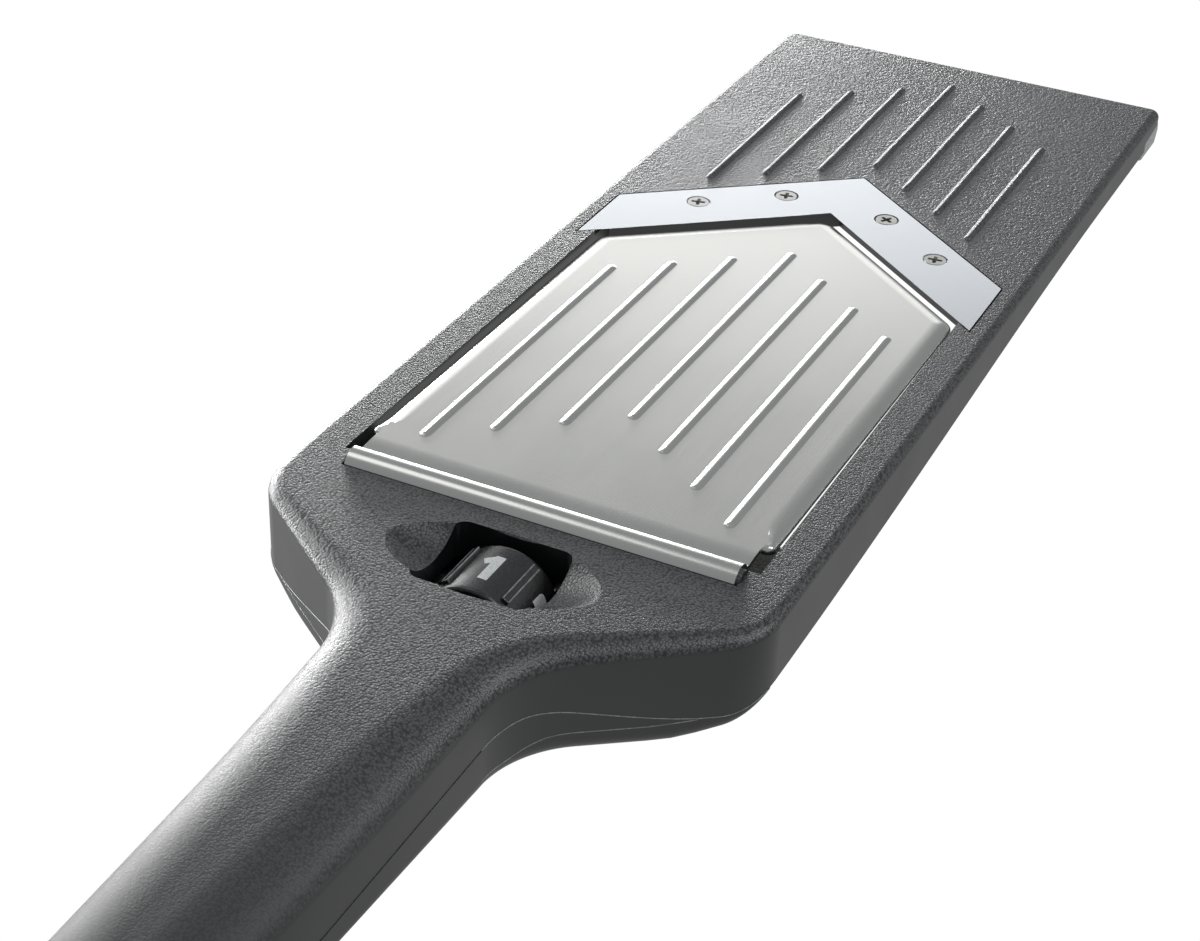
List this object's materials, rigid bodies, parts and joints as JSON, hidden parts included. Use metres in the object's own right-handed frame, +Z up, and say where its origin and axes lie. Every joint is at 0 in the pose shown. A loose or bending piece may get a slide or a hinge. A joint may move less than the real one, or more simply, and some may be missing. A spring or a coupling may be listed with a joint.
{
  "type": "v-blade mandoline",
  "caption": "Hand-held mandoline: textured body with a long handle, V-shaped blade, hinged ribbed steel ramp plate and a thumbwheel that sets slice thickness.",
  "frame": {"origin": "under the middle of the tool, at the height of its lowest face, with the top face level", "axes": "+X to the right, +Y along the tool from the handle to the far end, +Z up out of the cutting face"},
  "size_m": [0.1028, 0.4024, 0.0248],
  "materials": {
    "body_plastic": "fine spark-eroded grain on the top, satin on the sides",
    "blade_steel": "satin hardened steel",
    "plate_steel": "satin stainless sheet",
    "screw_steel": "plain stainless",
    "shaft_steel": "ground steel",
    "brass": "turned",
    "nylon": "moulded",
    "wheel_plastic": "satin black",
    "numeral_ink": "printed",
    "foot_rubber": "soft grey elastomer"
  },
  "bodies": {
    "frame": {"body_shell": "body_plastic", "lower_cover": "body_plastic", "v_blade": "blade_steel", "blade_screws": "screw_steel", "blade_inserts": "brass", "rear_bush": "brass", "front_bush": "brass", "far_bush": "brass", "shaft_cradle": "body_plastic", "cradle_screws": "screw_steel", "detent_spring": "shaft_steel", "detent_screw": "screw_steel", "cover_screws": "screw_steel", "foot_strip": "foot_rubber"},
    "wheel": {"adjuster_wheel": "wheel_plastic", "dial_numerals": "numeral_ink", "camshaft": "shaft_steel", "wheel_pin": "shaft_steel", "lift_cam": "nylon", "cam_pin": "shaft_steel", "shaft_clip": "shaft_steel"},
    "plate": {"ramp_plate": "plate_steel", "plate_saddle": "nylon"}
  },
  "joints": [
    {"name": "wheel_turn", "type": "hinge", "parent": "frame", "child": "wheel", "pos_m": [0, -0.0626, 0.0124], "axis": [0, 1, 0], "range_deg": [0, 288]},
    {"name": "plate_tilt", "type": "hinge", "parent": "frame", "child": "plate", "pos_m": [0, -0.0437, 0.0216], "axis": [1, 0, 0], "range_deg": [-1.6, 0]}
  ],
  "couplings": [
    {"joint": "wheel_turn", "follows": "plate_tilt", "ratio": -179.62}
  ]
}
